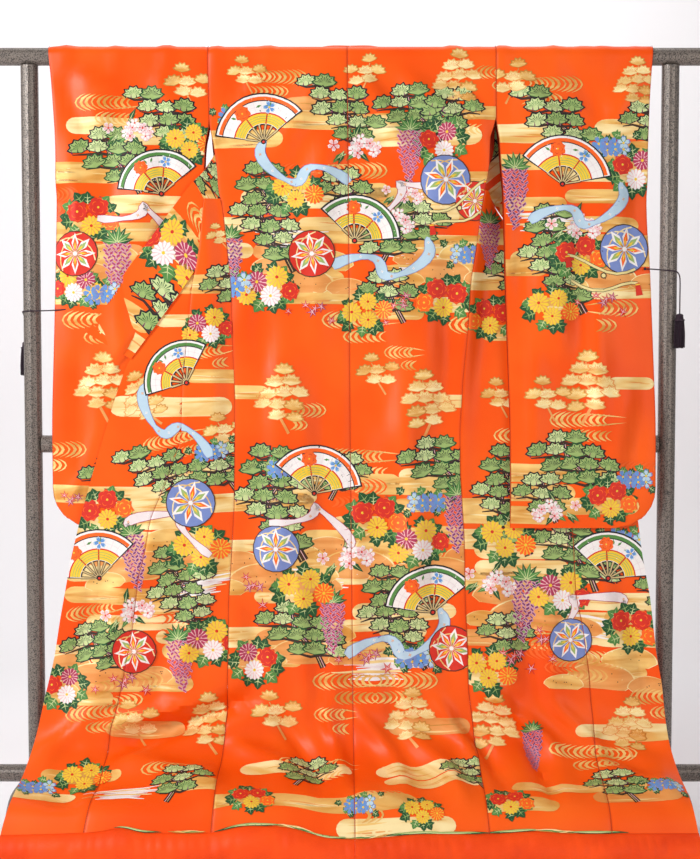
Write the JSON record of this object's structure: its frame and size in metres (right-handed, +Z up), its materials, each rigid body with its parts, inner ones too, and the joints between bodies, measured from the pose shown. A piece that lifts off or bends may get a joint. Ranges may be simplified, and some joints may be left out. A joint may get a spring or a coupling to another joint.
{
  "type": "uchikake wedding kimono on a garment rack",
  "caption": "Long-sleeved, padded-hem wedding kimono hung open, back outwards, with its fronts swung to the sides, on a tubular garment rack.",
  "frame": {"origin": "on the floor, under the middle of the whole object's box", "axes": "+Z up; the garment's back faces -Y; +X along the top rail, towards the sleeve on the right when the back is looked at"},
  "size_m": [1.6006, 0.5896, 1.7142],
  "materials": {
    "satin": "orange satin weave with woven gold and many-coloured motifs",
    "lining": "plain red-orange silk over padding",
    "silk": "dark twisted silk",
    "steel": "speckled grey-brown powder coat",
    "rubber": "matt black"
  },
  "bodies": {
    "root": {"back_left": "satin", "back_right": "satin", "shoulder_left": "satin", "shoulder_right": "satin", "front_left": "satin", "front_right": "satin", "okumi_left": "satin", "okumi_right": "satin", "collar_left": "satin", "collar_right": "satin", "sleeve_left": "satin", "sleeve_right": "satin", "fuki_left": "lining", "fuki_right": "lining", "cord_left": "silk", "cord_right": "silk", "knot_left": "silk", "knot_right": "silk", "tassel_left": "silk", "tassel_right": "silk", "top_rail": "steel", "mid_rail": "steel", "low_rail": "steel", "low_end_left": "steel", "low_end_right": "steel", "upright_left": "steel", "upright_right": "steel", "foot_left": "steel", "foot_right": "steel", "top_cap_left": "rubber", "top_cap_right": "rubber", "low_cap_left": "rubber", "low_cap_right": "rubber", "tip_left_front": "rubber", "tip_left_back": "rubber", "tip_right_front": "rubber", "tip_right_back": "rubber"}
  },
  "joints": []
}
